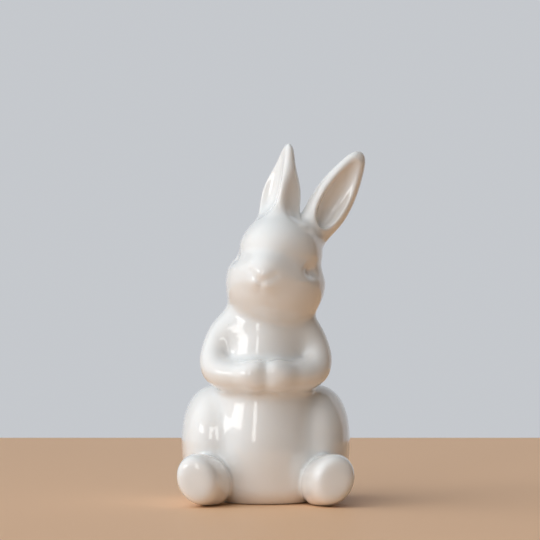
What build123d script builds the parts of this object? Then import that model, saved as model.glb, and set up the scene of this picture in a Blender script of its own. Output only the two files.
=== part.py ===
from build123d import *
import os
from math import cos, pi, sin

# Ceramic rabbit figurine, sitting up with its forepaws together.
# The front of the rabbit looks along -Y and +Z is up. The origin is on the table, under the
# middle of the chest. Left and right are those of a person who looks at the rabbit's front.
# The figure is cast as hollow and solid pieces that are luted together before the firing, so
# each piece ends in a saddle that follows the piece it sits on, one thin line of slip away.
# All lengths are in millimetres and all angles in degrees.

# Clay and joints
wall = 3.0
lute_gap = 0.1
overrun = 2.0

# Torso: the belly, the waist, the chest and the neck collar
body_height = 66.0
belly_half_width = 21.4
belly_half_depth = 21.8
belly_setback = 2.0
# Each station gives the shares of height, half width, half depth and setback
torso_shares = [
    (0.000, 0.800, 0.800, 1.00),
    (0.030, 0.890, 0.890, 1.00),
    (0.100, 0.960, 0.965, 1.00),
    (0.210, 1.000, 1.000, 1.00),
    (0.330, 0.985, 0.980, 0.90),
    (0.450, 0.900, 0.880, 0.60),
    (0.560, 0.800, 0.770, 0.30),
    (0.670, 0.750, 0.700, 0.20),
    (0.775, 0.715, 0.665, 0.20),
    (0.865, 0.635, 0.600, 0.25),
    (0.940, 0.530, 0.510, 0.30),
    (1.000, 0.450, 0.440, 0.30),
]
oval_points = 12

# Foot ring and the plate that closes the pour opening
ring_width = 3.2
ring_recess = 0.9
floor_thickness = 3.4
pour_opening_diameter = 24.0
vent_diameter = 4.0

# Head: a pear form along the axis of the leaning head, and a muzzle. The jowls stand above the
# top of the neck collar
jowl_x = 3.3
jowl_y = -2.0
jowl_rise = 7.6
head_lean_angle = 10.5
head_turn_angle = -15.0
chin_drop = 15.0
crown_rise = 22.0
jowl_radius = 16.7
jaw_handle_share = 0.60
cheek_handle_share = 0.45
cranium_rise = 10.2
cranium_radius = 13.8
crown_handle_share = 0.57
muzzle_reach = 8.6
muzzle_radius = 8.6
muzzle_half_length = 9.8
muzzle_turn_angle = 90.0
muzzle_handle_share = 0.55
muzzle_rise = 0.8

# Ears: a leaf form with a scooped front. The roots are placed from the middle of the jowls
ear_length = 35.0
ear_half_width = 7.3
ear_half_thickness = 5.8
# Each station gives the shares of length, half width and half thickness
ear_shares = [
    (0.04, 0.46, 0.50),
    (0.14, 0.76, 0.82),
    (0.28, 0.95, 1.00),
    (0.42, 1.00, 0.98),
    (0.58, 0.93, 0.86),
    (0.73, 0.77, 0.70),
    (0.86, 0.57, 0.54),
    (0.95, 0.37, 0.36),
    (0.985, 0.21, 0.21),
]
scoop_share = 0.78
scoop_offset = 3.1
left_ear_side = -0.1
left_ear_rise = 11.7
left_ear_lean_angle = 8.0
left_ear_turn_angle = -58.0
right_ear_side = 10.8
right_ear_rise = 13.4
right_ear_lean_angle = 31.0
right_ear_turn_angle = 24.0
ear_back = 3.0

# Arms: from the root under the neck over the shoulder and the elbow to the paw. The heights are
# shares of the body's height
arm_radius = 5.0
arm_root_x = 8.0
arm_root_y = -0.5
arm_root_height_share = 0.924
shoulder_x = 14.9
shoulder_y = -2.5
shoulder_height_share = 0.818
elbow_x = 16.2
elbow_y = -8.5
elbow_height_share = 0.676
paw_x = 4.8
paw_y = -17.0
paw_height_share = 0.642
# Each station gives the share of the way along the arm and the share of its radius
arm_shares = [(0.00, 0.76), (0.20, 0.94), (0.42, 1.02), (0.60, 1.02), (0.80, 0.95), (1.00, 0.86)]
paw_radius = 4.9
paw_turn_angle = 90.0
toe_radius = 2.6
toe_side = 2.1
toe_spread = 2.3
toe_reach = 1.9

# Haunches: a full dome on each side of the belly, just above the table. Its radius is a share of
# the body's height
haunch_radius_share = 0.2924
haunch_lift = 0.2
haunch_dome = 12.4
haunch_x = 16.0
haunch_y = 5.0
haunch_turn_angle = 90.0
haunch_handle_share = 0.66

# Feet: round at the heel, and blunt at the sole, which looks forward
heel_reach = 12.0
sole_reach = 10.2
foot_half_width = 7.4
foot_half_height = 8.7
foot_x = 19.8
foot_y = -18.5
foot_z = 8.3
foot_splay_angle = 20.0
foot_tilt_angle = 20.0
foot_pitch_angle = 80.0
heel_handle_share = 0.66
sole_handle_share = 0.80

# Tail
tail_radius = 5.6
tail_y = 24.6
tail_z = 9.5


def oval(plane, half_width, half_depth):
    """A smooth closed oval on the given plane."""
    points = []
    for step in range(oval_points):
        angle = 2 * pi * step / oval_points
        points.append((half_width * cos(angle), half_depth * sin(angle)))
    with BuildSketch(plane) as section:
        with BuildLine():
            Spline(*points, periodic=True)
        make_face()
    return section.sketch


def pebble(radius, half_length, handle_share):
    """A round form about the Z axis. The larger the handle share, the blunter it is."""
    handle_radius = handle_share * radius
    handle_length = handle_share * half_length
    bottom = (0, -half_length)
    side = (radius, 0)
    top = (0, half_length)
    with BuildPart() as form:
        with BuildSketch(Plane.XZ):
            with BuildLine():
                Bezier(bottom, (handle_radius, -half_length), (radius, -handle_length), side)
                Bezier(side, (radius, handle_length), (handle_radius, half_length), top)
                Line(top, bottom)
            make_face()
        revolve(axis=Axis.Z)
    return form.part


def torso_form(extra):
    """The outer form of the torso, larger by extra all round."""
    sections = []
    for height_share, width_share, depth_share, setback_share in torso_shares:
        plane = Plane((0, setback_share * belly_setback, height_share * body_height))
        half_width = width_share * belly_half_width + extra
        half_depth = depth_share * belly_half_depth + extra
        sections.append(oval(plane, half_width, half_depth))
    with BuildPart() as form:
        loft(sections)
    return form.part


def pear_form(extra):
    """The head without its muzzle, upright about the middle of the jowls."""
    jowl = jowl_radius + extra
    temple = cranium_radius + extra
    chin_z = -chin_drop - extra
    crown_z = crown_rise + extra
    jaw_handle_z = jaw_handle_share * chin_z
    cheek_handle = cheek_handle_share * cranium_rise
    crown_handle_z = cranium_rise + crown_handle_share * (crown_z - cranium_rise)
    with BuildPart() as form:
        with BuildSketch(Plane.XZ):
            with BuildLine():
                Bezier((0, chin_z), (jaw_handle_share * jowl, chin_z), (jowl, jaw_handle_z), (jowl, 0))
                Bezier(
                    (jowl, 0),
                    (jowl, cheek_handle),
                    (temple, cranium_rise - cheek_handle),
                    (temple, cranium_rise),
                )
                Bezier(
                    (temple, cranium_rise),
                    (temple, crown_handle_z),
                    (crown_handle_share * temple, crown_z),
                    (0, crown_z),
                )
                Line((0, crown_z), (0, chin_z))
            make_face()
        revolve(axis=Axis.Z)
    return form.part


jowl_z = body_height + jowl_rise
head_place = Location((jowl_x, jowl_y, jowl_z), (0, head_lean_angle, head_turn_angle))


def head_form(extra):
    """The outer form of the head in its place, larger by extra all round."""
    muzzle_place = head_place * Location((0, -muzzle_reach, muzzle_rise), (muzzle_turn_angle, 0, 0))
    muzzle = pebble(muzzle_radius + extra, muzzle_half_length + extra, muzzle_handle_share)
    with BuildPart() as form:
        with Locations(head_place):
            add(pear_form(extra))
        with Locations(muzzle_place):
            add(muzzle)
    return form.part


def leaf_form(size_share):
    """The ear's leaf, upright on its root, or a smaller one about the same middle."""
    length = size_share * ear_length
    root_z = (ear_length - length) / 2
    sections = [Vertex(0, 0, root_z)]
    for length_share, width_share, thickness_share in ear_shares:
        plane = Plane((0, 0, root_z + length_share * length))
        half_width = size_share * width_share * ear_half_width
        half_thickness = size_share * thickness_share * ear_half_thickness
        sections.append(oval(plane, half_width, half_thickness))
    sections.append(Vertex(0, 0, root_z + length))
    with BuildPart() as form:
        loft(sections)
    return form.part


def ear(place, head_seat):
    """One ear: the leaf less its scoop, less the head that it stands on."""
    with BuildPart() as piece:
        with Locations(place):
            add(leaf_form(1))
        with Locations(place * Location((0, -scoop_offset, 0))):
            add(leaf_form(scoop_share), mode=Mode.SUBTRACT)
        add(head_seat, mode=Mode.SUBTRACT)
    return piece.part


def arm_form():
    """The left arm: a tapered limb that ends in a paw with two toes."""
    paw_z = paw_height_share * body_height
    root = (-arm_root_x, arm_root_y, arm_root_height_share * body_height)
    shoulder = (-shoulder_x, shoulder_y, shoulder_height_share * body_height)
    elbow = (-elbow_x, elbow_y, elbow_height_share * body_height)
    wrist = (-paw_x, paw_y, paw_z)
    with BuildLine() as route:
        Spline(root, shoulder, elbow, wrist)
    sections = []
    for way_share, radius_share in arm_shares:
        along = route.line % way_share
        plane = Plane(route.line @ way_share, x_dir=along.cross(Vector(0, 1, 0)), z_dir=along)
        sections.append(oval(plane, radius_share * arm_radius, radius_share * arm_radius))
    with BuildPart() as form:
        loft(sections)
        with Locations(wrist):
            Sphere(paw_radius, rotation=(0, paw_turn_angle, 0))
        toe_y = paw_y - toe_reach
        with Locations((-toe_side, toe_y, paw_z - toe_spread), (-toe_side, toe_y, paw_z + toe_spread)):
            Sphere(toe_radius)
        split(bisect_by=Plane.YZ.offset(-lute_gap), keep=Keep.BOTTOM)
    return form.part


def haunch_form(extra):
    """The left haunch: a full round form that bulges to the left."""
    haunch_radius = haunch_radius_share * body_height
    place = Location((-haunch_x, haunch_y, haunch_radius + haunch_lift), (0, -haunch_turn_angle, 0))
    with BuildPart() as form:
        with Locations(place):
            add(pebble(haunch_radius + extra, haunch_dome + extra, haunch_handle_share))
    return form.part


def foot_form():
    """The left foot, splayed to the left: a round heel that widens to the sole."""
    side = (foot_half_width, 0)
    heel = (0, -heel_reach)
    sole = (0, sole_reach)
    heel_handle = (heel_handle_share * foot_half_width, -heel_reach)
    heel_side_handle = (foot_half_width, -heel_handle_share * heel_reach)
    sole_side_handle = (foot_half_width, sole_handle_share * sole_reach)
    sole_handle = (sole_handle_share * foot_half_width, sole_reach)
    place = Location((-foot_x, foot_y, foot_z), (foot_pitch_angle, -foot_splay_angle, foot_tilt_angle))
    with BuildPart() as upright:
        with BuildSketch(Plane.XZ):
            with BuildLine():
                Bezier(heel, heel_handle, heel_side_handle, side)
                Bezier(side, sole_side_handle, sole_handle, sole)
                Line(sole, heel)
            make_face()
        revolve(axis=Axis.Z)
        scale(by=(1, foot_half_height / foot_half_width, 1))
    with BuildPart() as form:
        with Locations(place):
            add(upright.part)
    return form.part


os.makedirs("parts", exist_ok=True)
torso_outside = torso_form(0)
torso_seat = torso_form(lute_gap)
head_seat = head_form(lute_gap)

# Torso shell: hollow, open at the neck, with a pour opening inside the foot ring
with BuildPart() as torso_shell:
    add(torso_outside)
    cavity = split(torso_form(-wall), Plane.XY.offset(floor_thickness), Keep.TOP, mode=Mode.PRIVATE)
    add(cavity, mode=Mode.SUBTRACT)
    with BuildSketch(Plane((0, belly_setback, 0))):
        ring_half_width = torso_shares[0][1] * belly_half_width - ring_width
        Circle(ring_half_width)
    extrude(amount=ring_recess, mode=Mode.SUBTRACT)
    with BuildSketch(Plane((0, belly_setback, 0))):
        Circle(pour_opening_diameter / 2)
    extrude(amount=floor_thickness + overrun, mode=Mode.SUBTRACT)
torso_shell.part.label = "torso_shell"
export_step(torso_shell.part, "parts/torso_shell.step")

# Base plate: the disc that closes the pour opening, with a vent for the kiln
with BuildPart() as base_plate:
    with BuildSketch(Plane((0, belly_setback, ring_recess))):
        Circle(pour_opening_diameter / 2 - lute_gap)
    extrude(amount=floor_thickness - ring_recess)
    with Locations((0, belly_setback, floor_thickness)):
        Hole(vent_diameter / 2)
base_plate.part.label = "base_plate"
export_step(base_plate.part, "parts/base_plate.step")

# Head shell: hollow, and open where it sits over the neck collar
with BuildPart() as head_shell:
    add(head_form(0))
    with Locations(head_place):
        add(pear_form(-wall), mode=Mode.SUBTRACT)
    add(torso_seat, mode=Mode.SUBTRACT)
head_shell.part.label = "head_shell"
export_step(head_shell.part, "parts/head_shell.step")

# Ears
ear_y = jowl_y + ear_back
left_ear_place = Location(
    (jowl_x + left_ear_side, ear_y, jowl_z + left_ear_rise),
    (0, left_ear_lean_angle, left_ear_turn_angle),
)
right_ear_place = Location(
    (jowl_x + right_ear_side, ear_y, jowl_z + right_ear_rise),
    (0, right_ear_lean_angle, right_ear_turn_angle),
)
with BuildPart() as ear_left:
    add(ear(left_ear_place, head_seat))
ear_left.part.label = "ear_left"
export_step(ear_left.part, "parts/ear_left.step")

with BuildPart() as ear_right:
    add(ear(right_ear_place, head_seat))
ear_right.part.label = "ear_right"
export_step(ear_right.part, "parts/ear_right.step")

# Arms: alike where they lie on the torso, and each cut off under the leaning head
with BuildPart() as arm_on_torso:
    add(arm_form())
    add(torso_seat, mode=Mode.SUBTRACT)

with BuildPart() as arm_left:
    add(arm_on_torso.part)
    add(head_seat, mode=Mode.SUBTRACT)
arm_left.part.label = "arm_left"
export_step(arm_left.part, "parts/arm_left.step")

with BuildPart() as arm_right:
    mirror(arm_on_torso.part, about=Plane.YZ)
    add(head_seat, mode=Mode.SUBTRACT)
arm_right.part.label = "arm_right"
export_step(arm_right.part, "parts/arm_right.step")

# Haunches
with BuildPart() as haunch_left:
    add(haunch_form(0))
    add(torso_seat, mode=Mode.SUBTRACT)
haunch_left.part.label = "haunch_left"
export_step(haunch_left.part, "parts/haunch_left.step")

with BuildPart() as haunch_right:
    mirror(haunch_left.part, about=Plane.YZ)
haunch_right.part.label = "haunch_right"
export_step(haunch_right.part, "parts/haunch_right.step")

# Feet
with BuildPart() as foot_left:
    add(foot_form())
    split(bisect_by=Plane.XY, keep=Keep.TOP)
    add(torso_seat, mode=Mode.SUBTRACT)
    add(haunch_form(lute_gap), mode=Mode.SUBTRACT)
foot_left.part.label = "foot_left"
export_step(foot_left.part, "parts/foot_left.step")

with BuildPart() as foot_right:
    mirror(foot_left.part, about=Plane.YZ)
foot_right.part.label = "foot_right"
export_step(foot_right.part, "parts/foot_right.step")

# Tail
with BuildPart() as tail:
    with Locations((0, tail_y, tail_z)):
        Sphere(tail_radius)
    add(torso_seat, mode=Mode.SUBTRACT)
tail.part.label = "tail"
export_step(tail.part, "parts/tail.step")
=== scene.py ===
import math

import bpy
import numpy as np
from mathutils import Matrix, Vector


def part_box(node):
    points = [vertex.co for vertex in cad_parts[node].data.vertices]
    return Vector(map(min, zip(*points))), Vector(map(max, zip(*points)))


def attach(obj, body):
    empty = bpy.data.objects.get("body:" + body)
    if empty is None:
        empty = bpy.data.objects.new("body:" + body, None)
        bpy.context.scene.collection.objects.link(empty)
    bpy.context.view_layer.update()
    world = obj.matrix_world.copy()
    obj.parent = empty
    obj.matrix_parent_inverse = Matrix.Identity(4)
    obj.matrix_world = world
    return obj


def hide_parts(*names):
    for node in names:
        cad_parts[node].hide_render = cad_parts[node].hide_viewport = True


# Looks of a glazed ceramic rabbit figurine. Sizes are in millimetres and angles in degrees, in the
# frame of the CAD model: the rabbit looks along -Y and +Z is up. MM turns a size into metres.
#
# The figurine is one glazed skin over luted pieces. Each piece is a signed distance field, and the
# fields are joined by soft valleys, as slip and glaze fill them. Every piece is then meshed by
# itself: it follows the common skin where it is the nearest piece, and dives under its neighbour
# from there, so that each is a closed form and no seam shows.
MM = 0.001

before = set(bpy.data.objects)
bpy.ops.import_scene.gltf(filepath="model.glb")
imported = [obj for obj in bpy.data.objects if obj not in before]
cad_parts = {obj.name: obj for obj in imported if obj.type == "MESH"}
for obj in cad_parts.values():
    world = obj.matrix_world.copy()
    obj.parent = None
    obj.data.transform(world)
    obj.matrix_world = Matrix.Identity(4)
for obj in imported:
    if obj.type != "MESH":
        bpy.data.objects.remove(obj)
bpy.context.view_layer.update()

# Torso
BODY_HEIGHT = 66.0
BELLY_HALF_WIDTH = 21.4
BELLY_HALF_DEPTH = 21.8
BELLY_SETBACK = 2.0
# Shares of the height, the half width, the half depth and the setback
TORSO_STATIONS = [
    (0.000, 0.800, 0.800, 1.00),
    (0.030, 0.890, 0.890, 1.00),
    (0.100, 0.960, 0.965, 1.00),
    (0.210, 1.000, 1.000, 1.00),
    (0.330, 0.985, 0.980, 0.90),
    (0.450, 0.900, 0.880, 0.60),
    (0.560, 0.800, 0.770, 0.30),
    (0.670, 0.750, 0.700, 0.20),
    (0.775, 0.715, 0.665, 0.20),
    (0.865, 0.635, 0.600, 0.25),
    (0.940, 0.530, 0.510, 0.30),
    (1.000, 0.450, 0.440, 0.30),
]
COLLAR_ROUNDING = 3.0
GROUND_ROUNDING = 1.2
RING_INNER_RADIUS = 13.9
RING_RECESS = 0.9
POUR_OPENING_RADIUS = 12.0
HOLLOW_HEIGHT = 14.0
RIM_SOFTNESS = 0.4

# Head, in its own leaning frame about the middle of the jowls
HEAD_POINT = (3.3, -2.0, 73.6)
HEAD_LEAN = 10.5
HEAD_TURN = -15.0
JOWL_RADIUS = 16.7
CHIN_DROP = 15.0
CRANIUM_RADIUS = 13.8
CRANIUM_RISE = 10.2
CROWN_RISE = 22.0
JAW_FULLNESS = 2.16
CROWN_FULLNESS = 2.06
MUZZLE_POINT = (0.0, -8.6, 0.8)
MUZZLE_RADII = (8.6, 9.8, 8.6)
MUZZLE_SOFTNESS = 4.0

# Ears, in their own frames about their roots
EAR_LENGTH = 35.0
EAR_HALF_WIDTH = 7.3
EAR_HALF_THICKNESS = 5.8
# Shares of the length, the half width and the half thickness
LEFT_EAR_STATIONS = [
    (0.00, 0.00, 0.00),
    (0.04, 0.46, 0.44),
    (0.14, 0.76, 0.68),
    (0.28, 0.95, 0.86),
    (0.42, 1.00, 0.98),
    (0.58, 0.92, 0.90),
    (0.73, 0.72, 0.59),
    (0.86, 0.50, 0.36),
    (0.95, 0.31, 0.23),
    (1.00, 0.00, 0.00),
]
RIGHT_EAR_STATIONS = [
    (0.00, 0.00, 0.00),
    (0.04, 0.46, 0.50),
    (0.14, 0.76, 0.82),
    (0.28, 0.95, 1.00),
    (0.42, 1.00, 0.98),
    (0.58, 0.93, 0.86),
    (0.73, 0.77, 0.70),
    (0.86, 0.57, 0.54),
    (0.95, 0.37, 0.36),
    (1.00, 0.00, 0.00),
]
# Each scoop is a smaller leaf beside its ear: shares of the half width, the half thickness and
# the length, and its place. Both have the right ear's stations.
LEFT_SCOOP_SHARES = (0.72, 0.70, 0.84)
LEFT_SCOOP_PLACE = (1.4, -6.4, 1.6)
LEFT_RIM_SOFTNESS = 2.0
# The left scoop follows the leaf: its shift to the side and to the back for each mm that it rises
LEFT_SCOOP_SLANT = (-0.08, 0.19)
LEFT_SCOOP_MIDDLE = 17.0
RIGHT_SCOOP_SHARES = (0.57, 0.70, 0.76)
RIGHT_SCOOP_PLACE = (-0.9, -4.1, 1.3)
RIGHT_RIM_SOFTNESS = 3.0
# The outer side of the left ear's near rim is a little hollow as well
FLANK_POINT = (12.0, 2.2, 19.0)
FLANK_RADII = (6.2, 6.2, 15.0)
FLANK_SOFTNESS = 3.2
LEFT_EAR_POINT = (2.6, 1.0, 85.3)
LEFT_EAR_LEAN = 8.6
# Against the right ear, the left one is fuller in its middle and, by its stations, slimmer at its
# tip
LEFT_LEAF_SHARES = (1.06, 1.12, 1.0)
RIGHT_LEAF_SHARES = (1.0, 1.0, 1.0)
LEFT_EAR_TURN = -64.0
RIGHT_EAR_POINT = (14.1, 1.0, 87.0)
RIGHT_EAR_LEAN = 31.0
RIGHT_EAR_TURN = 24.0

# Left arm; the right one is its mirror image
ARM_RADIUS = 5.0
ARM_ROUTE = [(-8.0, -0.5, 61.0), (-14.9, -2.5, 54.0), (-16.2, -8.5, 44.6), (-4.8, -17.0, 42.4)]
# Shares of the way along the arm and of its radius
ARM_STATIONS = [(0.00, 0.76), (0.20, 0.94), (0.42, 1.02), (0.60, 1.02), (0.80, 0.95), (1.00, 0.86)]
ARM_SAMPLES = 40
PAW_RADII = (5.0, 4.7, 4.7)
TOE_RADIUS = 2.4
TOE_SPREAD = 2.1
TOE_SIDE = 3.0
TOE_REACH = 1.9
TOE_SOFTNESS = 3.2

# Left haunch and foot; the right ones are their mirror images
HAUNCH_POINT = (-16.0, 5.0, 19.5)
HAUNCH_RADII = (19.3, 19.3, 12.4)
HAUNCH_FULLNESS = 2.38
FOOT_POINT = (-19.8, -18.5, 8.3)
FOOT_RADII = (7.4, 8.7, 12.0)
FOOT_ANGLES = (80.0, -20.0, 20.0)
HEEL_FULLNESS = 2.5
SOLE_FULLNESS = 3.1
SOLE_REACH = 10.2
SOLE_ROUNDING = 4.4
# The way the sole looks, in the foot's frame: a little down and inward
SOLE_FACING = (0.10, -0.24, 0.966)

# Tail
TAIL_POINT = (0.0, 24.6, 9.5)
TAIL_RADII = (5.6, 5.6, 5.6)

# Width of the soft valley between two pieces
NECK_VALLEY = 6.0
HAUNCH_VALLEY = 4.0
ARM_VALLEY = 6.4
SHOULDER_VALLEY = 16.0
SHOULDER_START = 49.0
SHOULDER_END = 61.0
PAW_VALLEY = 6.0
EAR_VALLEY = 9.0
FOOT_VALLEY = 3.0
TAIL_VALLEY = 3.0

# Meshing
CELL = 0.8
PAW_CELL = 0.5
EAR_CELL = 0.5
HEAD_CELL = 0.42
# FAR stands for every distance that is out of reach
FAR = 9.0
# The cells in the side of a coarse block
COARSE = 4
# The step by which a slope is measured
STEP = 0.02
# A piece leaves the common skin gently over this lead
DIVE_START = 1.2
# A coarse block is sampled finely if the skin is within this many of its widths
NEAR_BAND = 1.6
# Points within this share of a cell from a seam are moved onto it
SEAM_REACH = 0.5
LEAST_STEEPNESS = 0.3
LEAST_SLOPE_SQUARE = 0.1
SETTLING_ROUNDS = 3
SEAM_ROUNDS = 2
ROUTE_ROUNDS = 3
TINY = 1e-6
# The fullness of a pebble that is an ellipsoid
ELLIPSOID = 2


def turned(angles):
    """The rotation that a CAD location has for these three angles."""
    x_turn, y_turn, z_turn = (math.radians(angle) for angle in angles)
    turn = Matrix.Rotation(x_turn, 3, "X") @ Matrix.Rotation(y_turn, 3, "Y")
    return np.array(turn @ Matrix.Rotation(z_turn, 3, "Z"))


def soft_min(first, second, width):
    """The smaller of two distances, with a fillet of this width where they meet."""
    near = np.maximum(width - np.abs(first - second), 0) / width
    return np.minimum(first, second) - near**3 * width / 6


def soft_max(first, second, width):
    """The larger of two distances, with an edge rounded over this width where they meet."""
    return -soft_min(-first, -second, width)


def natural_curve(knots, values):
    """A natural cubic curve through the values, as a function of the place along the knots."""
    knots = np.array(knots, float)
    values = np.array(values, float).reshape(len(knots), -1)
    spans = np.diff(knots)
    slopes = np.diff(values, axis=0) / spans[:, None]
    count = len(knots)
    system = np.eye(count)
    right = np.zeros_like(values)
    for row in range(1, count - 1):
        system[row, row - 1 : row + 2] = spans[row - 1], 2 * (spans[row - 1] + spans[row]), spans[row]
        right[row] = 6 * (slopes[row] - slopes[row - 1])
    bends = np.linalg.solve(system, right)

    def curve(place, order=0):
        place = np.clip(np.asarray(place, float), knots[0], knots[-1])
        span = np.clip(np.searchsorted(knots, place) - 1, 0, count - 2)
        width = spans[span][:, None]
        after = (place - knots[span])[:, None]
        before = width - after
        low, high = bends[span], bends[span + 1]
        if order == 0:
            line = values[span] * before / width + values[span + 1] * after / width
            rise = (before**3 / width - before * width) * low + (after**3 / width - after * width) * high
            return line + rise / 6
        line = (values[span + 1] - values[span]) / width
        rise = (width - 3 * before**2 / width) * low + (3 * after**2 / width - width) * high
        return line + rise / 6

    return curve


def pebble(points, radii, fullness):
    """A round form about its third axis. Above 2 the fullness makes it blunter than an ellipsoid."""
    ring = np.hypot(points[:, 0] / radii[0], points[:, 1] / radii[1])
    level = (ring**fullness + np.abs(points[:, 2] / radii[2]) ** fullness) ** (1 / fullness)
    level = np.maximum(level, TINY)
    return np.linalg.norm(points, axis=1) * (1 - 1 / level)


def mirrored(field):
    """The field's mirror image, on the right side of the body."""
    return lambda points: field(points * (-1, 1, 1))


torso_curve = natural_curve(
    [BODY_HEIGHT * row[0] for row in TORSO_STATIONS],
    [(BELLY_HALF_WIDTH * w, BELLY_HALF_DEPTH * d, BELLY_SETBACK * s) for _, w, d, s in TORSO_STATIONS],
)


def torso_field(points):
    """The belly, the waist, the chest and the collar, flat underneath."""
    half_width, half_depth, setback = torso_curve(points[:, 2]).T
    back = points[:, 1] - setback
    level = np.maximum(np.hypot(points[:, 0] / half_width, back / half_depth), TINY)
    side = np.hypot(points[:, 0], back) * (1 - 1 / level)
    side = soft_max(side, points[:, 2] - BODY_HEIGHT, COLLAR_ROUNDING)
    return soft_max(side, -points[:, 2], GROUND_ROUNDING)


head_turned = turned((0, HEAD_LEAN, HEAD_TURN))


def skull_field(points):
    """The head without its face: jaw, cheeks and cranium, round about the leaning axis."""
    ring = np.hypot(points[:, 0], points[:, 1])
    height = points[:, 2]
    share = np.clip(height / CRANIUM_RISE, 0, 1)
    blend = share**3 * (10 - 15 * share + 6 * share**2)
    side_radius = JOWL_RADIUS - (JOWL_RADIUS - CRANIUM_RADIUS) * blend
    field = ring - side_radius
    low = height < 0
    jaw = np.stack([ring[low], np.zeros(low.sum()), height[low]], axis=1)
    field[low] = pebble(jaw, (JOWL_RADIUS, JOWL_RADIUS, CHIN_DROP), JAW_FULLNESS)
    high = height > CRANIUM_RISE
    crown = np.stack([ring[high], np.zeros(high.sum()), height[high] - CRANIUM_RISE], axis=1)
    crown_radii = (CRANIUM_RADIUS, CRANIUM_RADIUS, CROWN_RISE - CRANIUM_RISE)
    field[high] = pebble(crown, crown_radii, CROWN_FULLNESS)
    return field


# Face, in the head's frame. A depth sinks the surface and a swell raises it. Places on the muzzle
# are (side, height). An eye is placed by its angle from the front and its height, and LID_LINES
# are places about its middle.
EYE_ANGLE = 63.0
EYE_HEIGHT = 5.0
SOCKET_RADII = (6.0, 3.3)
SOCKET_DEPTH = 0.8
EYE_RADII = (2.9, 1.7)
EYE_DEPTH = 1.45
# The left eye, on the contour, is pressed in less deep
LEFT_EYE_SHARE = 0.5
EYE_TILT = 6.0
BROW_RISE = 4.4
BROW_SWELL = 0.4
LID_LINES = [[(-7.2, 1.8), (-5.0, 1.1), (-2.7, 3.2)], [(-5.6, -3.1), (-1.5, -2.9), (3.4, -2.4)]]
LID_LINE_SWELL = 0.09
LID_LINE_WIDTH = 0.7
FOREHEAD_HEIGHT = 8.0
FOREHEAD_RADII = (10.0, 5.0)
FOREHEAD_SWELL = 0.9
NAPE_RADII = (15.0, 6.0)
NAPE_SWELL = 1.2
NOSE_POINT = (0.0, 1.0)
NOSE_RADII = (3.0, 2.4)
NOSE_SWELL = 0.35
PHILTRUM = [(0.0, -1.3), (0.0, -4.3)]
NOSTRIL = [(0.0, -1.2), (2.2, 0.1), (4.2, 1.7)]
MOUTH = [(0.0, -5.3), (3.0, -5.8), (6.5, -4.5)]
NOSTRIL_DEPTH = 0.28
PHILTRUM_DEPTH = 0.12
MOUTH_DEPTH = 0.10
LINE_WIDTH = 1.35
LIP_POINT = (2.3, -2.2)
LIP_RADII = (2.5, 1.6)
LIP_SWELL = 0.35


def bump(across, up, radii):
    """A soft hill, 1 at its middle."""
    return np.exp(-((across / radii[0]) ** 2) - (up / radii[1]) ** 2)


def stroke(across, up, route, width):
    """A soft line along the route, 1 at its middle."""
    nearest = np.full(len(across), FAR)
    for (x0, z0), (x1, z1) in zip(route, route[1:]):
        run_x, run_z = x1 - x0, z1 - z0
        along = ((across - x0) * run_x + (up - z0) * run_z) / (run_x**2 + run_z**2)
        along = np.clip(along, 0, 1)
        nearest = np.minimum(nearest, np.hypot(across - x0 - along * run_x, up - z0 - along * run_z))
    return np.exp(-((nearest / width) ** 2))


def face_relief(points):
    """How far the face is sunk at each point."""
    side = np.abs(points[:, 0])
    height = points[:, 2]
    front = np.clip(-points[:, 1] / JOWL_RADIUS, 0, 1)
    relief = -NOSE_SWELL * bump(points[:, 0] - NOSE_POINT[0], height - NOSE_POINT[1], NOSE_RADII)
    relief -= LIP_SWELL * bump(side - LIP_POINT[0], height - LIP_POINT[1], LIP_RADII)
    relief += NOSTRIL_DEPTH * stroke(side, height, NOSTRIL, LINE_WIDTH)
    relief += PHILTRUM_DEPTH * stroke(side, height, PHILTRUM, LINE_WIDTH)
    relief += MOUTH_DEPTH * stroke(side, height, MOUTH, LINE_WIDTH)
    relief *= front

    turn = np.arctan2(side, -points[:, 1])
    relief -= FOREHEAD_SWELL * bump(turn * JOWL_RADIUS, height - FOREHEAD_HEIGHT, FOREHEAD_RADII)
    nape = (math.pi - turn) * JOWL_RADIUS
    relief -= NAPE_SWELL * bump(nape, height - FOREHEAD_HEIGHT, NAPE_RADII)
    across = (turn - math.radians(EYE_ANGLE)) * JOWL_RADIUS
    up = height - EYE_HEIGHT
    tilt = math.radians(EYE_TILT)
    along = across * math.cos(tilt) + up * math.sin(tilt)
    over = up * math.cos(tilt) - across * math.sin(tilt)
    eye_depth = np.where(points[:, 0] < 0, LEFT_EYE_SHARE * EYE_DEPTH, EYE_DEPTH)
    relief += SOCKET_DEPTH * bump(along, over, SOCKET_RADII) + eye_depth * bump(along, over, EYE_RADII)
    relief -= BROW_SWELL * bump(along, over - BROW_RISE, SOCKET_RADII)
    for route in LID_LINES:
        relief -= LID_LINE_SWELL * stroke(along, over, route, LID_LINE_WIDTH)
    return relief


def head_field(points):
    """The head with its muzzle and its face."""
    points = (points - HEAD_POINT) @ head_turned
    muzzle = (points - MUZZLE_POINT)[:, [0, 2, 1]]
    width, length, height = MUZZLE_RADII
    snout = pebble(muzzle, (width, height, length), ELLIPSOID)
    field = soft_min(skull_field(points), snout, MUZZLE_SOFTNESS)
    return field + face_relief(points)


def ear_curve(stations):
    """Squares of an ear's width and thickness shares along its length."""
    return natural_curve(
        [row[0] for row in stations],
        [(width**2, thickness**2) for _, width, thickness in stations],
    )


left_ear_curve = ear_curve(LEFT_EAR_STATIONS)
right_ear_curve = ear_curve(RIGHT_EAR_STATIONS)


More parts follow.
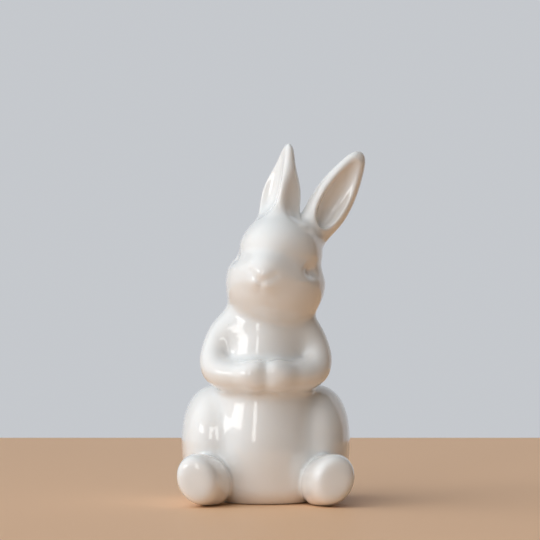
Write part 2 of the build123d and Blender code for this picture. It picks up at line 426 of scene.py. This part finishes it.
def leaf(points, curve, shares):
    """The ear's leaf, or a smaller one about the same middle."""
    length = shares[2] * EAR_LENGTH
    height = points[:, 2] - (EAR_LENGTH - length) / 2
    shares_here = np.sqrt(np.maximum(curve(height / length), TINY))
    width_share, thickness_share = shares_here.T
    half_width = shares[0] * EAR_HALF_WIDTH * width_share
    half_thickness = shares[1] * EAR_HALF_THICKNESS * thickness_share
    level = np.maximum(np.hypot(points[:, 0] / half_width, points[:, 1] / half_thickness), TINY)
    side = np.hypot(points[:, 0], points[:, 1]) * (1 - 1 / level)
    beyond = np.maximum(np.maximum(height - length, -height), 0)
    return np.where(beyond > 0, np.hypot(np.maximum(side, 0), beyond), side)


def slanted(points):
    """The points with the left scoop's slant taken out."""
    rise = points[:, 2] - LEFT_SCOOP_MIDDLE
    side, back = LEFT_SCOOP_SLANT
    return points - np.stack([side * rise, back * rise, np.zeros_like(rise)], axis=1)


def left_ear_field(points):
    points = (points - LEFT_EAR_POINT) @ turned((0, LEFT_EAR_LEAN, LEFT_EAR_TURN))
    scoop = leaf(slanted(points) - LEFT_SCOOP_PLACE, right_ear_curve, LEFT_SCOOP_SHARES)
    field = soft_max(leaf(points, left_ear_curve, LEFT_LEAF_SHARES), -scoop, LEFT_RIM_SOFTNESS)
    return soft_max(field, -pebble(points - FLANK_POINT, FLANK_RADII, ELLIPSOID), FLANK_SOFTNESS)


def right_ear_field(points):
    points = (points - RIGHT_EAR_POINT) @ turned((0, RIGHT_EAR_LEAN, RIGHT_EAR_TURN))
    scoop = leaf(points - RIGHT_SCOOP_PLACE, right_ear_curve, RIGHT_SCOOP_SHARES)
    return soft_max(leaf(points, right_ear_curve, RIGHT_LEAF_SHARES), -scoop, RIGHT_RIM_SOFTNESS)


route_runs = np.linalg.norm(np.diff(ARM_ROUTE, axis=0), axis=1)
arm_length = route_runs.sum()
arm_curve = natural_curve(np.concatenate([[0], np.cumsum(route_runs)]) / arm_length, ARM_ROUTE)
arm_girth = natural_curve([row[0] for row in ARM_STATIONS], [row[1] for row in ARM_STATIONS])


def arm_field(points):
    """The left arm: a tapered limb with a paw of two toes."""
    shares = np.linspace(0, 1, ARM_SAMPLES)
    samples = arm_curve(shares)
    reach = ((points[:, None, :] - samples[None]) ** 2).sum(2)
    place = shares[reach.argmin(1)]
    for _ in range(ROUTE_ROUNDS):
        gap = arm_curve(place) - points
        along = arm_curve(place, 1)
        place = np.clip(place - (gap * along).sum(1) / (along**2).sum(1), 0, 1)
    limb = np.linalg.norm(points - arm_curve(place), axis=1) - ARM_RADIUS * arm_girth(place)[:, 0]
    wrist = np.array(ARM_ROUTE[-1])
    field = soft_min(limb, pebble(points - wrist, PAW_RADII, ELLIPSOID), TOE_SOFTNESS)
    for rise in (-TOE_SPREAD, TOE_SPREAD):
        toe = np.array((-TOE_SIDE, wrist[1] - TOE_REACH, wrist[2] + rise))
        field = soft_min(field, np.linalg.norm(points - toe, axis=1) - TOE_RADIUS, TOE_SOFTNESS)
    return field


def haunch_field(points):
    """The left haunch: a full round form whose axis is across the body."""
    return pebble((points - HAUNCH_POINT)[:, [1, 2, 0]], HAUNCH_RADII, HAUNCH_FULLNESS)


foot_turned = turned(FOOT_ANGLES)


def foot_field(points):
    """The left foot: a full pebble with its sole to the front, flat where it stands."""
    turned_points = (points - FOOT_POINT) @ foot_turned
    heel = pebble(turned_points, FOOT_RADII, HEEL_FULLNESS)
    field = np.where(turned_points[:, 2] < 0, heel, pebble(turned_points, FOOT_RADII, SOLE_FULLNESS))
    field = soft_max(field, turned_points @ np.array(SOLE_FACING) - SOLE_REACH, SOLE_ROUNDING)
    return soft_max(field, -points[:, 2], GROUND_ROUNDING)


def tail_field(points):
    return pebble(points - TAIL_POINT, TAIL_RADII, ELLIPSOID)


def recess_field(points):
    """The clay that is missing under the foot ring and over the base plate."""
    ring = np.hypot(points[:, 0], points[:, 1] - BELLY_SETBACK)
    recess = soft_max(ring - RING_INNER_RADIUS, points[:, 2] - RING_RECESS, RIM_SOFTNESS)
    hollow = soft_max(ring - POUR_OPENING_RADIUS, points[:, 2] - HOLLOW_HEIGHT, RIM_SOFTNESS)
    return np.minimum(recess, hollow)


# The CAD node that each field stands for, with the field and the size of the cells it is meshed in
PIECES = {
    "torso_shell": (torso_field, CELL),
    "head_shell": (head_field, HEAD_CELL),
    "ear_left": (left_ear_field, EAR_CELL),
    "ear_right": (right_ear_field, EAR_CELL),
    "arm_left": (arm_field, PAW_CELL),
    "arm_right": (mirrored(arm_field), PAW_CELL),
    "haunch_left": (haunch_field, CELL),
    "haunch_right": (mirrored(haunch_field), CELL),
    "foot_left": (foot_field, CELL),
    "foot_right": (mirrored(foot_field), CELL),
    "tail": (tail_field, CELL),
}


def corners(node):
    """The lowest and the highest corner of a CAD node, in millimetres."""
    low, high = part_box(node)
    return np.array(low) / MM, np.array(high) / MM


# A piece reaches under its neighbours, so its field is worked out this far round its CAD node
UNDERLAP = 14.0
boxes = {}
for node in PIECES:
    low, high = corners(node)
    boxes[node] = (low - UNDERLAP, high + UNDERLAP)


def distances(points):
    """The distance of each point from each piece, and FAR where a piece is out of reach."""
    found = {}
    for node, (field, _) in PIECES.items():
        low, high = boxes[node]
        close = ((points > low) & (points < high)).all(1)
        distance = np.full(len(points), FAR)
        if close.any():
            distance[close] = field(points[close])
        found[node] = distance
    return found


def skin(found, height):
    """The common skin: all pieces, joined by soft valleys. The shoulders run into the chest."""
    rise = np.clip((height - SHOULDER_START) / (SHOULDER_END - SHOULDER_START), 0, 1)
    arm_valley = ARM_VALLEY + (SHOULDER_VALLEY - ARM_VALLEY) * rise**2 * (3 - 2 * rise)
    body = found["torso_shell"]
    for node in ("haunch_left", "haunch_right"):
        body = soft_min(body, found[node], HAUNCH_VALLEY)
    body = soft_min(body, found["tail"], TAIL_VALLEY)
    arms = soft_min(found["arm_left"], found["arm_right"], PAW_VALLEY)
    body = soft_min(body, arms, arm_valley)
    ears = np.minimum(found["ear_left"], found["ear_right"])
    head = soft_min(found["head_shell"], ears, EAR_VALLEY)
    body = soft_min(body, head, NECK_VALLEY)
    for node in ("foot_left", "foot_right"):
        body = soft_min(body, found[node], FOOT_VALLEY)
    return np.maximum(body, -height)


def piece_fields(node, points):
    """The piece's own field, the common skin, and how much nearer the nearest other piece is."""
    found = distances(points)
    common = skin(found, points[:, 2])
    others = np.min([found[other] for other in found if other != node], axis=0)
    lead = found[node] - others
    under = np.maximum(lead, 0)
    dive = np.where(under < DIVE_START, under**2 / (2 * DIVE_START), under - DIVE_START / 2)
    own = common + dive
    if node == "torso_shell":
        hole = -recess_field(points)
        own = soft_max(own, hole, RIM_SOFTNESS)
        common = soft_max(common, hole, RIM_SOFTNESS)
    return own, common, lead


def gradient(function, points):
    """The slope of a function of points, by small steps each way."""
    slopes = []
    for axis in range(3):
        offset = np.zeros(3)
        offset[axis] = STEP
        slopes.append((function(points + offset) - function(points - offset)) / (2 * STEP))
    return np.stack(slopes, axis=1)


def sampled(node, cell):
    """The piece's field on a grid. Away from the skin only its sign counts."""
    low, high = boxes[node]
    steps = np.ceil((high - low) / cell).astype(int)
    blocks = np.ceil(steps / COARSE).astype(int)
    wide = cell * COARSE
    centres = [low[axis] + wide * (np.arange(blocks[axis]) + 0.5) for axis in range(3)]
    grid = np.stack(np.meshgrid(*centres, indexing="ij"), axis=-1).reshape(-1, 3)
    rough = piece_fields(node, grid)[0].reshape(blocks)
    field = rough.repeat(COARSE, 0).repeat(COARSE, 1).repeat(COARSE, 2)
    close = np.abs(field) < wide * NEAR_BAND
    axes = [low[axis] + cell * (np.arange(field.shape[axis]) + 0.5) for axis in range(3)]
    index = np.nonzero(close)
    points = np.stack([axes[axis][index[axis]] for axis in range(3)], axis=1)
    field[close] = piece_fields(node, points)[0]
    return field, np.array([axis[0] for axis in axes])


def surface_net(field, origin, cell):
    """Points and four-sided faces of the zero level of a sampled field, one point in each cell."""
    inside = field < 0
    shape = np.array(field.shape) - 1
    total = np.zeros((*shape, 3))
    count = np.zeros(shape)
    crossings = []
    for axis in range(3):
        size = field.shape[axis]
        first = np.take(field, range(size - 1), axis)
        second = np.take(field, range(1, size), axis)
        change = np.take(inside, range(size - 1), axis) != np.take(inside, range(1, size), axis)
        edges = np.argwhere(change)
        near, far = first[change], second[change]
        place = edges.astype(float)
        place[:, axis] += near / (near - far)
        crossings.append((edges, near < 0))
        side_axes = [other for other in range(3) if other != axis]
        for back_one in (0, 1):
            for back_two in (0, 1):
                cells = edges.copy()
                cells[:, side_axes[0]] -= back_one
                cells[:, side_axes[1]] -= back_two
                held = ((cells >= 0) & (cells < shape)).all(1)
                key = tuple(cells[held].T)
                np.add.at(total, key, place[held])
                np.add.at(count, key, 1)
    used = count > 0
    number = np.full(shape, -1)
    number[used] = np.arange(used.sum())
    points = total[used] / count[used][:, None] * cell + origin
    faces = []
    for axis, (edges, outward) in enumerate(crossings):
        one, two = (axis + 1) % 3, (axis + 2) % 3
        loop = []
        for back_one, back_two in ((0, 0), (1, 0), (1, 1), (0, 1)):
            cells = edges.copy()
            cells[:, one] -= back_one
            cells[:, two] -= back_two
            loop.append(number[tuple(cells.T)])
        quads = np.stack(loop, axis=1)
        faces.append(np.where(outward[:, None], quads, quads[:, ::-1]))
    return points, np.concatenate(faces)


def settled(node, points, cell):
    """The points moved onto the piece's skin, and those by a seam onto the seam itself."""
    for _ in range(SETTLING_ROUNDS):
        slope = gradient(lambda p: piece_fields(node, p)[0], points)
        own = piece_fields(node, points)[0]
        move = own / np.maximum((slope**2).sum(1), LEAST_SLOPE_SQUARE)
        points = points - np.clip(move, -cell, cell)[:, None] * slope
    lead_slope = gradient(lambda p: piece_fields(node, p)[2], points)
    own, common, lead = piece_fields(node, points)
    steepness = np.linalg.norm(lead_slope, axis=1)
    by_seam = np.abs(lead) < SEAM_REACH * cell * steepness
    seam = by_seam & (steepness > LEAST_STEEPNESS) & (np.abs(common) < cell)
    for _ in range(SEAM_ROUNDS):
        near = points[seam]
        _, common, lead = piece_fields(node, near)
        skin_slope = gradient(lambda p: piece_fields(node, p)[1], near)
        lead_slope = gradient(lambda p: piece_fields(node, p)[2], near)
        skin_slope_square = np.maximum((skin_slope**2).sum(1), LEAST_SLOPE_SQUARE)
        near = near - (common / skin_slope_square)[:, None] * skin_slope
        along_skin = (lead_slope * skin_slope).sum(1) / skin_slope_square
        across = lead_slope - along_skin[:, None] * skin_slope
        step = lead / np.maximum((across**2).sum(1), LEAST_SLOPE_SQUARE)
        points[seam] = near - np.clip(step, -cell, cell)[:, None] * across
    return points


def outward_normals(node, points):
    """Normals of the common skin, and of the piece itself where it lies under a neighbour."""
    _, _, lead = piece_fields(node, points)
    normals = gradient(lambda p: piece_fields(node, p)[1], points)
    under = lead > STEP
    normals[under] = gradient(lambda p: piece_fields(node, p)[0], points[under])
    return normals / np.maximum(np.linalg.norm(normals, axis=1), TINY)[:, None]


def skin_piece(node):
    """The mesh object of one piece, with the depth of the filled valley kept at each point."""
    cell = PIECES[node][1]
    field, origin = sampled(node, cell)
    points, faces = surface_net(field, origin, cell)
    points = settled(node, points, cell)
    points[:, 2] = np.maximum(points[:, 2], 0)
    normals = outward_normals(node, points)
    found = distances(points)
    filled = np.min(list(found.values()), axis=0) - skin(found, points[:, 2])
    mesh = bpy.data.meshes.new(node + "_skin")
    mesh.from_pydata((points * MM).tolist(), [], faces.tolist())
    mesh.polygons.foreach_set("use_smooth", [True] * len(mesh.polygons))
    mesh.normals_split_custom_set_from_vertices(normals.tolist())
    pool = mesh.attributes.new("glaze_pool", "FLOAT", "POINT")
    pool.data.foreach_set("value", np.clip(filled, 0, 1))
    piece = bpy.data.objects.new(node + "_skin", mesh)
    bpy.context.scene.collection.objects.link(piece)
    return piece


# Materials. A noise is given as its waves to the metre, its detail and, where it isn't plain, its
# roughness. Heights and depths are in millimetres.
GLAZE_COLOUR = (0.90, 0.905, 0.895, 1)
GLAZE_THIN_COLOUR = (0.92, 0.915, 0.895, 1)
GLAZE_POOL_COLOUR = (0.87, 0.88, 0.87, 1)
CLAY_COLOUR = (0.80, 0.77, 0.71, 1)
CLAY_DARK_COLOUR = (0.72, 0.68, 0.61, 1)
BARE_RING_HEIGHT = 0.35
# The share of that height below which the clay is wholly bare
BARE_RING_SHARE = 0.5
GLAZE_TINT_NOISE = (45, 3)
MOTTLE_RANGE = (0.35, 0.7)
POOL_RANGE = (0.02, 0.5)
GLAZE_GLOSS_NOISE = (300, 4)
GLAZE_ROUGHNESS = (0.09, 0.15)
ROUGHNESS_RANGE = (0.3, 0.7)
GLAZE_IOR = 1.5
COAT_WEIGHT = 1.0
COAT_ROUGHNESS = 0.04
SUBSURFACE_WEIGHT = 0.12
SUBSURFACE_RADIUS = (1.0, 0.9, 0.8)
SUBSURFACE_DEPTH = 1.2
WAVE_NOISE = (110, 2)
WAVE_HEIGHT = 0.25
WAVE_STRENGTH = 0.25
PINHOLE_NOISE = (2200, 1)
PINHOLE_RANGE = (0.74, 0.8)
PINHOLE_DEPTH = 0.08
PINHOLE_STRENGTH = 0.5
CLAY_MOTTLE_NOISE = (260, 6, 0.65)
CLAY_GLOSS_NOISE = (900, 3)
CLAY_ROUGHNESS = (0.75, 0.9)
CLAY_GRAIN_NOISE = (3500, 4, 0.7)
CLAY_GRAIN_HEIGHT = 0.1
CLAY_GRAIN_STRENGTH = 0.5
TABLE_ROUGHNESS = 0.55
WALL_ROUGHNESS = 1.0


def new_material(name):
    material = bpy.data.materials.new(name)
    material.use_nodes = True
    tree = material.node_tree
    return material, tree, tree.nodes["Principled BSDF"]


def noise(tree, scale, detail, roughness=0.5):
    """A noise over the place on the object, at so many waves to the metre."""
    texture = tree.nodes.new("ShaderNodeTexNoise")
    texture.inputs["Scale"].default_value = scale
    texture.inputs["Detail"].default_value = detail
    texture.inputs["Roughness"].default_value = roughness
    place = tree.nodes.new("ShaderNodeTexCoord")
    tree.links.new(place.outputs["Object"], texture.inputs["Vector"])
    return texture.outputs["Fac"]


def ramp(tree, value, low, high, low_out=0.0, high_out=1.0):
    """The value, stretched from one range to another."""
    node = tree.nodes.new("ShaderNodeMapRange")
    node.inputs["From Min"].default_value = low
    node.inputs["From Max"].default_value = high
    node.inputs["To Min"].default_value = low_out
    node.inputs["To Max"].default_value = high_out
    tree.links.new(value, node.inputs["Value"])
    return node.outputs["Result"]


def mix(tree, share, first, second):
    """A mix of two colours, each a plain colour or a socket."""
    node = tree.nodes.new("ShaderNodeMix")
    node.data_type = "RGBA"
    tree.links.new(share, node.inputs["Factor"])
    for name, colour in (("A", first), ("B", second)):
        socket = [s for s in node.inputs if s.name == name and s.type == "RGBA"][0]
        if isinstance(colour, tuple):
            socket.default_value = colour
        else:
            tree.links.new(colour, socket)
    return [s for s in node.outputs if s.type == "RGBA"][0]


def bumped(tree, height, distance, strength, under=None):
    node = tree.nodes.new("ShaderNodeBump")
    node.inputs["Distance"].default_value = distance
    node.inputs["Strength"].default_value = strength
    tree.links.new(height, node.inputs["Height"])
    if under is not None:
        tree.links.new(under, node.inputs["Normal"])
    return node.outputs["Normal"]


def glaze_material():
    """Thick white glaze: it pools in the valleys, is a little wavy, and has rare pinholes."""
    material, tree, shader = new_material("white_glaze")
    pool = tree.nodes.new("ShaderNodeAttribute")
    pool.attribute_name = "glaze_pool"
    tint = ramp(tree, noise(tree, *GLAZE_TINT_NOISE), *MOTTLE_RANGE)
    colour = mix(tree, tint, GLAZE_COLOUR, GLAZE_THIN_COLOUR)
    colour = mix(tree, ramp(tree, pool.outputs["Fac"], *POOL_RANGE), colour, GLAZE_POOL_COLOUR)
    place = tree.nodes.new("ShaderNodeNewGeometry")
    split = tree.nodes.new("ShaderNodeSeparateXYZ")
    tree.links.new(place.outputs["Position"], split.inputs["Vector"])
    bare_top = BARE_RING_HEIGHT * MM
    bare = ramp(tree, split.outputs["Z"], bare_top, BARE_RING_SHARE * bare_top)
    colour = mix(tree, bare, colour, CLAY_COLOUR)
    tree.links.new(colour, shader.inputs["Base Color"])
    roughness = ramp(tree, noise(tree, *GLAZE_GLOSS_NOISE), *ROUGHNESS_RANGE, *GLAZE_ROUGHNESS)
    tree.links.new(roughness, shader.inputs["Roughness"])
    shader.inputs["IOR"].default_value = GLAZE_IOR
    shader.inputs["Coat Weight"].default_value = COAT_WEIGHT
    shader.inputs["Coat Roughness"].default_value = COAT_ROUGHNESS
    shader.inputs["Coat IOR"].default_value = GLAZE_IOR
    shader.inputs["Subsurface Weight"].default_value = SUBSURFACE_WEIGHT
    shader.inputs["Subsurface Radius"].default_value = SUBSURFACE_RADIUS
    shader.inputs["Subsurface Scale"].default_value = SUBSURFACE_DEPTH * MM
    waves = bumped(tree, noise(tree, *WAVE_NOISE), WAVE_HEIGHT * MM, WAVE_STRENGTH)
    pinholes = ramp(tree, noise(tree, *PINHOLE_NOISE), *PINHOLE_RANGE, 1.0, 0.0)
    surface = bumped(tree, pinholes, PINHOLE_DEPTH * MM, PINHOLE_STRENGTH, waves)
    tree.links.new(surface, shader.inputs["Normal"])
    tree.links.new(waves, shader.inputs["Coat Normal"])
    return material


def clay_material():
    """Bare fired clay: matt, faintly mottled and fine-grained."""
    material, tree, shader = new_material("bare_porcelain")
    mottle = ramp(tree, noise(tree, *CLAY_MOTTLE_NOISE), *MOTTLE_RANGE)
    colour = mix(tree, mottle, CLAY_COLOUR, CLAY_DARK_COLOUR)
    tree.links.new(colour, shader.inputs["Base Color"])
    roughness = ramp(tree, noise(tree, *CLAY_GLOSS_NOISE), *ROUGHNESS_RANGE, *CLAY_ROUGHNESS)
    tree.links.new(roughness, shader.inputs["Roughness"])
    grain_noise = noise(tree, *CLAY_GRAIN_NOISE)
    grain = bumped(tree, grain_noise, CLAY_GRAIN_HEIGHT * MM, CLAY_GRAIN_STRENGTH)
    tree.links.new(grain, shader.inputs["Normal"])
    return material


def table_material():
    material, _, shader = new_material("table")
    shader.inputs["Base Color"].default_value = TABLE_COLOUR
    shader.inputs["Roughness"].default_value = TABLE_ROUGHNESS
    return material


def wall_material():
    """A plain wall that the camera and mirror-like rays see in its own colour, evenly lit."""
    material, tree, shader = new_material("wall")
    shader.inputs["Base Color"].default_value = WALL_COLOUR
    shader.inputs["Roughness"].default_value = WALL_ROUGHNESS
    glow = tree.nodes.new("ShaderNodeEmission")
    glow.inputs["Color"].default_value = WALL_COLOUR
    rays = tree.nodes.new("ShaderNodeLightPath")
    seen = tree.nodes.new("ShaderNodeMath")
    seen.operation = "MAXIMUM"
    tree.links.new(rays.outputs["Is Camera Ray"], seen.inputs[0])
    tree.links.new(rays.outputs["Is Glossy Ray"], seen.inputs[1])
    clear = tree.nodes.new("ShaderNodeMath")
    clear.operation = "MAXIMUM"
    tree.links.new(seen.outputs["Value"], clear.inputs[0])
    tree.links.new(rays.outputs["Is Transmission Ray"], clear.inputs[1])
    blend = tree.nodes.new("ShaderNodeMixShader")
    tree.links.new(clear.outputs["Value"], blend.inputs["Fac"])
    tree.links.new(shader.outputs["BSDF"], blend.inputs[1])
    tree.links.new(glow.outputs["Emission"], blend.inputs[2])
    tree.links.new(blend.outputs["Shader"], tree.nodes["Material Output"].inputs["Surface"])
    return material


# Stage: a pale table and a pale wall behind it
TABLE_COLOUR = (0.88, 0.545, 0.32, 1)
WALL_COLOUR = (0.56, 0.58, 0.61, 1)
TABLE_HALF_WIDTH = 1500.0
TABLE_FRONT = -1400.0
TABLE_BACK = 346.0
WALL_DISTANCE = 1500.0
WALL_HALF_WIDTH = 2500.0
WALL_LOW = -900.0
WALL_HIGH = 2200.0


def flat_sheet(name, points, material):
    mesh = bpy.data.meshes.new(name)
    mesh.from_pydata([tuple(MM * value for value in point) for point in points], [], [(0, 1, 2, 3)])
    mesh.materials.append(material)
    sheet = bpy.data.objects.new(name, mesh)
    bpy.context.scene.collection.objects.link(sheet)


def build_stage():
    wide, front, back = TABLE_HALF_WIDTH, TABLE_FRONT, TABLE_BACK
    top = [(-wide, front, 0), (wide, front, 0), (wide, back, 0), (-wide, back, 0)]
    flat_sheet("table", top, table_material())
    wide, low, high = WALL_HALF_WIDTH, WALL_LOW, WALL_HIGH
    back = WALL_DISTANCE
    wall = [(-wide, back, low), (wide, back, low), (wide, back, high), (-wide, back, high)]
    flat_sheet("wall", wall, wall_material())


# Lights: two window panes for the highlights, and a room that is bright and cool towards the
# upper left and fades to dim on the other side. An azimuth is counted from +X towards +Y, so 180
# is to the camera's left and 270 is where the camera stands.
WINDOWS = {
    "window": {
        "azimuth": 211.0,
        "elevation": 21.0,
        "distance": 1300.0,
        "width": 500.0,
        "height": 280.0,
        "power": 1.25,
    },
    "side_window": {
        "azimuth": 248.0,
        "elevation": 19.0,
        "distance": 1500.0,
        "width": 170.0,
        "height": 640.0,
        "power": 1.0,
    },
}
AIM_HEIGHT = 55.0
BRIGHT_AZIMUTH = 197.0
BRIGHT_ELEVATION = 36.0
BRIGHT_COLOUR = (1.66, 1.76, 1.84, 1)
DIM_COLOUR = (0.085, 0.075, 0.065, 1)
# A higher focus draws the bright part of the room together
BRIGHT_FOCUS = 2.0


def direction(azimuth, elevation):
    """The unit vector that points this way from the figurine."""
    azimuth, elevation = math.radians(azimuth), math.radians(elevation)
    flat = math.cos(elevation)
    return Vector((flat * math.cos(azimuth), flat * math.sin(azimuth), math.sin(elevation)))


def area_light(name, spot):
    data = bpy.data.lights.new(name, "AREA")
    data.shape = "RECTANGLE"
    data.size = spot["width"] * MM
    data.size_y = spot["height"] * MM
    data.energy = spot["power"]
    lamp = bpy.data.objects.new(name, data)
    away = direction(spot["azimuth"], spot["elevation"])
    lamp.location = Vector((0, 0, AIM_HEIGHT * MM)) + away * spot["distance"] * MM
    lamp.rotation_euler = away.to_track_quat("Z", "Y").to_euler()
    bpy.context.scene.collection.objects.link(lamp)


def build_lights():
    for name, spot in WINDOWS.items():
        area_light(name, spot)
    world = bpy.data.worlds.new("room")
    bpy.context.scene.world = world
    world.use_nodes = True
    tree = world.node_tree
    place = tree.nodes.new("ShaderNodeTexCoord")
    facing = tree.nodes.new("ShaderNodeVectorMath")
    facing.operation = "DOT_PRODUCT"
    facing.inputs[1].default_value = direction(BRIGHT_AZIMUTH, BRIGHT_ELEVATION)
    tree.links.new(place.outputs["Generated"], facing.inputs[0])
    lit = ramp(tree, facing.outputs["Value"], 0.0, 1.0)
    share = tree.nodes.new("ShaderNodeMath")
    share.operation = "POWER"
    share.inputs[1].default_value = BRIGHT_FOCUS
    tree.links.new(lit, share.inputs[0])
    colour = mix(tree, share.outputs["Value"], DIM_COLOUR, BRIGHT_COLOUR)
    tree.links.new(colour, tree.nodes["Background"].inputs["Color"])


# Camera: almost level, a little above the table. IMAGE_WIDTH is the width of the frame at the
# object. The origin is seen at ORIGIN_PIXEL of the 540 pixels each way.
CAMERA_ELEVATION = 5.0
CAMERA_DISTANCE = 800.0
IMAGE_WIDTH = 181.8
IMAGE_PIXELS = 540
ORIGIN_PIXEL = (265.8, 500.8)
SENSOR_WIDTH = 36.0


def build_camera():
    data = bpy.data.cameras.new("camera")
    data.sensor_width = SENSOR_WIDTH
    data.lens = SENSOR_WIDTH * CAMERA_DISTANCE / IMAGE_WIDTH
    camera = bpy.data.objects.new("camera", data)
    elevation = math.radians(CAMERA_ELEVATION)
    pixel = IMAGE_WIDTH / IMAGE_PIXELS
    right = (IMAGE_PIXELS / 2 - ORIGIN_PIXEL[0]) * pixel
    up = (ORIGIN_PIXEL[1] - IMAGE_PIXELS / 2) * pixel
    raised = math.atan2(up, CAMERA_DISTANCE) - elevation
    away = Vector((0, -math.cos(elevation), math.sin(elevation)))
    camera.location = (Vector((right, 0, 0)) + away * CAMERA_DISTANCE) * MM
    camera.rotation_euler = (math.radians(90) + raised, 0, 0)
    bpy.context.scene.collection.objects.link(camera)
    bpy.context.scene.camera = camera


def dress():
    """Puts a glazed skin on every CAD node but the base plate, which shows its bare clay."""
    glaze = glaze_material()
    for node in PIECES:
        piece = skin_piece(node)
        piece.data.materials.append(glaze)
        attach(piece, "root")
        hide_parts(node)
    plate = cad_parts["base_plate"]
    plate.data.materials.clear()
    plate.data.materials.append(clay_material())


dress()
build_stage()
build_lights()
build_camera()
bpy.context.scene.view_settings.view_transform = "Standard"
